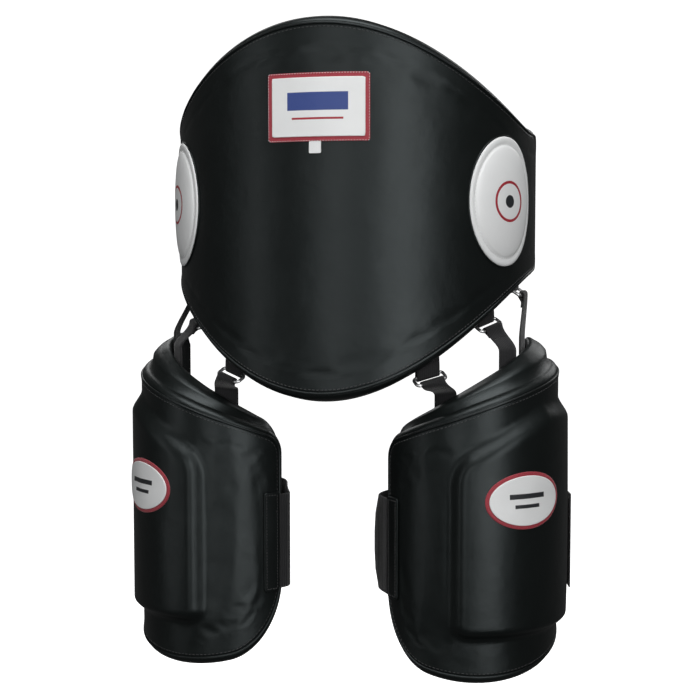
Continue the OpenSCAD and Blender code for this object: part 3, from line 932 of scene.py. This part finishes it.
def patch(pad, name, a0, z0, width, height, lift, thick, material, corner=2.0):
    """A thin sewn patch with rounded corners that follows the skin."""
    quarter = np.linspace(0, math.pi / 2, 5)
    loop = []
    for sx, sy, turn in ((1, 1, 0), (-1, 1, 1), (-1, -1, 2), (1, -1, 3)):
        for g in quarter + turn * math.pi / 2:
            loop.append((sx * (width / 2 - corner) + corner * math.cos(g),
                         sy * (height / 2 - corner) + corner * math.sin(g)))
    loop = np.array(loop)
    closed = np.vstack([loop, loop[:1]])
    run = np.concatenate([[0], np.cumsum(np.linalg.norm(np.diff(closed, axis=0), axis=1))])
    at = np.linspace(0, run[-1], 96, endpoint=False)
    loop = np.stack([np.interp(at, run, closed[:, k]) for k in (0, 1)], 1)
    s0 = pad.arc(np.array(a0))
    rings, uvs = [], []
    for part, up in ((0.004, 0), (0.35, 0), (0.7, 0), (1, 0), (1, thick * 0.7), (0.992, thick),
                     (0.975, thick), (0.7, thick), (0.35, thick), (0.004, thick)):
        p = loop * part
        rings.append(pad.skin(pad.angle_of(s0 + p[:, 0]), z0 + p[:, 1], lift + up))
        uvs += [(u * MM, v * MM) for u, v in p]
    verts, faces = loft(rings)
    piece = mesh_object(name, verts, faces, material, uvs)
    recalculate(piece)
    return piece


def rectangle_line(pad, a0, z0, width, height, lift, count=200):
    corners = np.array([(-1, -1), (1, -1), (1, 1), (-1, 1), (-1, -1)], float)
    corners *= [width / 2, height / 2]
    run = np.concatenate([[0], np.cumsum(np.linalg.norm(np.diff(corners, axis=0), axis=1))])
    at = np.linspace(0, run[-1], count, endpoint=False)
    p = np.stack([np.interp(at, run, corners[:, k]) for k in (0, 1)], 1)
    a = pad.angle_of(pad.arc(np.array(a0)) + p[:, 0])
    return pad.skin(a, z0 + p[:, 1], lift), pad.outward(a)


LABEL_W, LABEL_H, LABEL_Z, LABEL_BAND = 112.0, 72.0, 97.0, 5.0


def make_label(pad, looks):
    band = patch(pad, "label_band_patch", 0, LABEL_Z, LABEL_W, LABEL_H, 0.2, 0.9, looks["trim"])
    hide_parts("label_band")
    panel = patch(pad, "label_face", 0, LABEL_Z, LABEL_W - 2 * LABEL_BAND, LABEL_H - 2 * LABEL_BAND,
                  0.9, 1.0, looks["label"], 1.0)
    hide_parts("label_panel")
    line, ups = rectangle_line(pad, 0, LABEL_Z, LABEL_W - 1.6, LABEL_H - 1.6, 1.1)
    row = stitches("label_stitching", line, ups, looks["white_thread"], 3.0, 1.9, 0.3)
    tag = patch(pad, "size_tag_patch", -0.7, LABEL_Z - LABEL_H / 2 - 6, 13, 13, 0.2, 0.8,
                looks["plain"], 1.0)
    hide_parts("size_tag")
    for piece in (band, panel, row, tag):
        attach(piece, "shield")


# ---------------------------------------------------------------- rings, tabs and straps

WEB_W, WEB_T, WIRE_R, LOOP_GAP = 27.0, 1.6, 1.8, 0.7
LOOP_R = WIRE_R + LOOP_GAP + WEB_T / 2
TAB_DEPTH = -22.0
SEWN = 9  # the row of the strap where its loop is sewn shut
# Each hanger: angle on the shield, angle on the guard
HANGERS = {"front": (35.0, -18.0), "side": (60.0, 52.0), "rear": (87.0, 84.0)}


def unit(v):
    v = np.asarray(v, float)
    return v / np.linalg.norm(v)


def hanger(place, shield):
    """The two bars of a ring and the directions round it, all for the picture's right side."""
    joint = joints[f"ring_{place}_right_swing"]
    upper = np.array(joint["pos_m"]) / MM
    width = -np.array(joint["axis"], float)
    low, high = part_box(f"ring_{place}_right")
    lower = 2 * (np.array(low) + np.array(high)) / 2 / MM - upper
    out = shield.outward(np.array(HANGERS[place][0]))
    down = np.cross(width, out)
    down = down * (-1 if down[2] > 0 else 1)
    return upper, lower, width, out, down


def mirrored(rows, side):
    flip = np.array([side, 1, 1])
    return [tuple(np.asarray(v) * flip for v in row) for row in rows]


def half_turn(centre, width, out, away, steps=12):
    """Rows of webbing that go round a bar, from its front or its back."""
    rows = []
    for g in np.linspace(0, math.pi, steps):
        side = -out * math.cos(g) + away * math.sin(g)
        rows.append((centre + side * LOOP_R, width, side))
    return rows


def make_tab(place, side, shield, looks):
    name = f"{place}_{'right' if side > 0 else 'left'}"
    upper, _, width, out, down = hanger(place, shield)
    angle = HANGERS[place][0]
    root = shield.point(angle, TAB_DEPTH, shield.lows(np.array(angle)) + 3.0)
    rows = [(root - out * LOOP_R * 0.55, width, -out)]
    rows.append((root * 0.45 + upper * 0.55 - out * LOOP_R * 0.95, width, -out))
    rows += half_turn(upper, width, out, down)
    rows.append((root * 0.45 + upper * 0.55 + out * LOOP_R * 0.95, width, out))
    rows.append((root + out * LOOP_R * 0.55, width, out))
    verts, faces, uvs = tape(mirrored(rows, side), WEB_W, WEB_T)
    piece = mesh_object("tab_loop_" + name, verts, faces, looks["webbing"], uvs)
    recalculate(piece)
    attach(piece, "shield")
    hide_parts("tab_" + name)


def make_strap(place, side, shield, guard, looks):
    name = f"{place}_{'right' if side > 0 else 'left'}"
    _, lower, width, out, down = hanger(place, shield)
    angle = HANGERS[place][1]
    up = -down
    across = np.array([math.cos(math.radians(angle)), math.sin(math.radians(angle)), 0])
    inward = np.array([-math.sin(math.radians(angle)), math.cos(math.radians(angle)), 0])
    at = np.array(angle)
    rim_z = float(guard.tops(at, -guard.thick))
    reach = -guard.thick - 2.4 - WEB_T
    right = np.array([side, 1, 1])
    rim = guard.point(at, reach, rim_z + 3) * right
    sewn = guard.point(at, reach, rim_z - 30) * right
    start = lower + out * LOOP_R
    control = [start, start - up * 10, rim + np.array([0, 0, 9]), rim]
    fall = []
    for t in np.linspace(0, 1, 26)[1:]:
        p = ((1 - t) ** 3 * control[0] + 3 * t * (1 - t) ** 2 * control[1]
             + 3 * t * t * (1 - t) * control[2] + t ** 3 * control[3])
        fall.append((p, unit(width * (1 - t) + across * t), unit(out * (1 - t) - inward * t)))
    # the end of the loop lies against the back of the falling strap, where it is sewn
    tail = [(p - f * (WEB_T + 0.15), w, -f) for p, w, f in fall[4:8]]
    loop = tail[::-1] + half_turn(lower, width, out, up) + fall[:SEWN + 1]
    drop_rows = fall[SEWN:]
    drop_rows += [(rim * (1 - u) + sewn * u, across, -inward) for u in (0.33, 0.66, 1)]
    # spans where the loop would turn with its ring and the drop with the guard, square to the seam
    # row and stopping short of it, are worked out here.
    # They and the bodies listed below are not used: both pieces are baked in place and attached to
    # no body.
    seam, seam_width, _ = fall[SEWN]
    neck, hang = (v - seam_width * (v @ seam_width) for v in (seam - lower, rim - seam))
    edge = min(WEB_W / 2 * abs(across @ unit(hang)), 0.4 * np.linalg.norm(hang))
    spans = [(seam - neck * 0.85, seam - unit(neck) * WEB_T),
             (seam + unit(hang) * WEB_T, seam + hang - unit(hang) * edge)]
    guard_body = "thigh_guard_" + name.split("_")[1]
    for label, rows, bodies, span in (
            ("strap_loop_", loop, ("ring_" + name, "shield"), spans[0]),
            ("hanging_strap_", drop_rows, ("shield", guard_body), spans[1])):
        start, stop = (tuple(v * right * MM) for v in span)
        verts, faces, uvs = tape(mirrored(rows, side), WEB_W, WEB_T)
        piece = mesh_object(label + name, verts, faces, looks["webbing"], uvs)
        recalculate(piece)
        if rows is drop_rows:
            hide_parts("strap_" + name)
        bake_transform(piece)


# ---------------------------------------------------------------- thigh guards

EMBLEM_ANGLE, EMBLEM_Z, EMBLEM_W, EMBLEM_H = 42.0, -321.0, 88.0, 62.0


def make_emblem(guard, name, body, looks):
    edge = [(0.004, 0.1), (0.6, 0.1), (1.0, 0.1), (1.0, 0.9), (0.985, 1.2), (0.96, 1.2), (0.5, 1.2),
            (0.004, 1.2)]
    rim = oval_piece(guard, "emblem_border_" + name, EMBLEM_ANGLE, EMBLEM_Z, EMBLEM_W, EMBLEM_H,
                     edge, looks["trim"])
    face = [(p, lift + 0.9) for p, lift in edge]
    oval = oval_piece(guard, "emblem_face_" + name, EMBLEM_ANGLE, EMBLEM_Z, EMBLEM_W - 8,
                      EMBLEM_H - 8, face, looks["emblem"])
    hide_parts("emblem_rim_" + name)
    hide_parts("emblem_" + name)
    line, ups = oval_line(guard, EMBLEM_ANGLE, EMBLEM_Z, EMBLEM_W - 4, EMBLEM_H - 4, 1.3)
    row = stitches("emblem_stitching_" + name, line, ups, looks["trim"], 2.6, 1.8, 0.3)
    for piece in (rim, oval, row):
        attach(piece, body)


CLOSURE_Z, CLOSURE_H, CLOSURE_T = -383.0, 108.0, 2.0
FLAP_SEAM, FLAP_END, ANCHOR_START = -232.0, -262.0, -53.0
# How far the closure lies outside the guard's round at each angle
CLOSURE_LINE = np.array([[-262, 14.9], [-240, 14.9], [-226, 11.5], [-212, 5], [-196, -4],
                         [-180, -14], [-160, -23], [-140, -27], [-120, -27], [-104, -24],
                         [-90, -17], [-77, -8], [-68, -1.5], [-61.8, 2.6], [-53.5, 2.6]])
# How far each side's closure bows out past the guard's inner edge, and where
CLOSURE_BOW = {-1: -11.0, 1: 15.0}
BOW_SHARE = np.array([[-125, 0], [-110, 0.35], [-95, 0.8], [-82, 1], [-74, 0.9], [-68, 0.6],
                      [-64, 0.22], [-61.8, 0]])
EDGE_CURL = 6.0  # a closure that bows out does so this much less at its upper and lower edge


def closure_rows(guard, first, last, count, lift=0.0):
    a = np.linspace(first, last, count)
    o = np.interp(a, CLOSURE_LINE[:, 0], CLOSURE_LINE[:, 1])
    o = o + CLOSURE_BOW[guard.side] * np.interp(a, BOW_SHARE[:, 0], BOW_SHARE[:, 1])
    o = np.convolve(np.pad(o, 2, "edge"), np.ones(5) / 5, "valid") if count > 12 else o
    middle = guard.point(a, o + lift, CLOSURE_Z)
    along = directions(middle, False)
    up = np.tile([0.0, 0, 1], (count, 1))
    face = np.cross(along, up)
    face *= np.sign((face * guard.outward(a)).sum(1))[:, None]
    return list(zip(middle, up, face))


def closure_tape(guard, name, first, last, count, height, thick, material, lift=0.0):
    rows = closure_rows(guard, first, last, count, lift)
    verts, faces, uvs = tape(rows, height, thick)
    share = np.interp(np.linspace(first, last, count), BOW_SHARE[:, 0], BOW_SHARE[:, 1])
    share = np.repeat(share * max(0.0, CLOSURE_BOW[guard.side] / CLOSURE_BOW[1]),
                      len(verts) // count)
    face = np.repeat([row[2] for row in rows], len(verts) // count, axis=0)
    verts = np.array(verts, float)
    ends = np.abs(2 * (verts[:, 2] - CLOSURE_Z) / height) ** 3
    verts -= face * (EDGE_CURL * share * ends)[:, None]
    piece = mesh_object(name, verts, faces, material, uvs)
    recalculate(piece)
    return piece


def make_closure(guard, name, looks):
    body, flap_body = "thigh_guard_" + name, "closure_flap_" + name
    strap = closure_tape(guard, "closure_band_" + name, FLAP_END, ANCHOR_START - 0.4, 150,
                         CLOSURE_H, CLOSURE_T, looks["elastic"])
    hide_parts("closure_strap_" + name, "closure_flap_" + name)
    near, far = (closure_rows(guard, a, a + 1, 2)[0][0] for a in (FLAP_SEAM, FLAP_SEAM - 2))
    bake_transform(strap)
    hook = closure_tape(guard, "closure_hook_tape_" + name, FLAP_END + 2, FLAP_END + 21, 12,
                        CLOSURE_H - 12, 0.9, looks["hook"], -CLOSURE_T / 2 - 0.6)
    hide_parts("closure_hook_" + name)
    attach(hook, flap_body)
    s = [guard.arc(np.array(v)) for v in (99.0, 115.0)]
    loop = patch(guard, "closure_loop_tape_" + name, 107.0, CLOSURE_Z, float(s[1] - s[0]),
                 CLOSURE_H - 12, 0.2, 0.8, looks["loop"])
    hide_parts("closure_loop_" + name)
    centre = ANCHOR_START + 5.5
    strip = patch(guard, "anchor_" + name, centre, CLOSURE_Z, 19.2, CLOSURE_H + 6, 0.3, 2.6,
                  looks["edge"])
    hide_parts("anchor_strip_" + name)
    line, ups = rectangle_line(guard, centre, CLOSURE_Z, 13.5, CLOSURE_H - 1, 3.0)
    row = stitches("anchor_stitching_" + name, line, ups, looks["black_thread"], 3.6, 2.6, 0.4)
    for piece in (loop, strip, row):
        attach(piece, body)


def make_guard(side, looks, shield):
    name = "right" if side > 0 else "left"
    body = "thigh_guard_" + name
    guard = Guard(side)
    guard.settle(0.5, 0.0007 + 0.0002 * side, 1.5,
                 [(EMBLEM_ANGLE, EMBLEM_Z, EMBLEM_W, EMBLEM_H),
                  (ANCHOR_START + 5.5, CLOSURE_Z, 24, CLOSURE_H + 8)])
    nodes = [f"leg_{part}_{name}" for part in ("panel", "gusset", "foam", "block")]
    cover(guard, "thigh_" + name, body, looks, nodes, "leg_lining_" + name)
    edge_pieces(guard, "thigh_" + name, body, looks, "leg_piping_" + name)
    make_emblem(guard, name, body, looks)
    make_closure(guard, name, looks)
    for place in HANGERS:
        make_tab(place, side, shield, looks)
        make_strap(place, side, shield, guard, looks)


# ---------------------------------------------------------------- waist belt

BELT_H, BELT_T, BELT_START, BELT_END = 92.0, 5.0, 97.9, 205.1


def belt_rows(shield, side, lap, count=90):
    a = np.linspace(BELT_START, BELT_END, count)
    o = np.where(a < 108, -15 + 15 * np.sin(np.radians(90 * (a - 97.9) / 10.1)), 0.0)
    ease = np.clip((a - 128) / 22, 0, 1)
    o = o + lap * (0.5 - 0.5 * np.cos(math.pi * ease))
    middle = shield.point(a, o, 0.0) * np.array([side, 1, 1])
    along = directions(middle, False)
    up = np.tile([0.0, 0, 1], (count, 1))
    face = np.cross(along, up)
    out = shield.outward(a) * np.array([side, 1, 1])
    face *= np.sign((face * out).sum(1))[:, None]
    return list(zip(middle, up, face)), a


def belt_piece(shield, name, side, lap, first, last, height, thick, lift, material):
    rows, a = belt_rows(shield, side, lap)
    kept = [(m + f * lift, u, f) for (m, u, f), angle in zip(rows, a) if first <= angle <= last]
    verts, faces, uvs = tape(kept, height, thick)
    piece = mesh_object(name, verts, faces, material, uvs)
    recalculate(piece)
    return piece


def make_belt(shield, looks):
    for name, side, lap in (("left", -1, 9.4), ("right", 1, 0.0)):
        wing = belt_piece(shield, "belt_band_" + name, side, lap, 0, 400, BELT_H, BELT_T, 0,
                          looks["elastic"])
        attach(wing, "belt_" + name)
        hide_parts("belt_wing_" + name)
    hook = belt_piece(shield, "belt_hook_tape", -1, 9.4, 162, 196, BELT_H - 12, 1.3,
                      -BELT_T / 2 - 1.05, looks["hook"])
    loop = belt_piece(shield, "belt_loop_tape", 1, 0.0, 160, 198, BELT_H - 10, 1.4,
                      BELT_T / 2 + 1.1, looks["loop"])
    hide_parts("belt_hook_panel")
    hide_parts("belt_loop_panel")
    for piece, body in ((hook, "belt_left"), (loop, "belt_right")):
        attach(piece, body)


def dress_rings(looks):
    """The rings keep their CAD shape and take a satin steel finish."""
    for name, node in frame["nodes"].items():
        if name.startswith("ring_"):
            node.data.materials.clear()
            node.data.materials.append(looks["steel"])
            for polygon in node.data.polygons:
                polygon.use_smooth = True


make_camera()
make_lights()
make_floor()
make_world()
looks = make_materials()
shield = Shield()
shield.settle(0.5, 0.0009, 1.8,
              [(0, LABEL_Z, LABEL_W, LABEL_H), (TARGET_ANGLE, 0, TARGET_W, TARGET_H),
               (-TARGET_ANGLE, 0, TARGET_W, TARGET_H)])
cover(shield, "shield", "shield", looks, ["belly_front_panel", "belly_gusset", "belly_foam"],
      "belly_lining")
edge_pieces(shield, "shield", "shield", looks, "belly_piping")
make_target(shield, 1, looks)
make_target(shield, -1, looks)
make_label(shield, looks)
make_guard(1, looks, shield)
make_guard(-1, looks, shield)
make_belt(shield, looks)
dress_rings(looks)
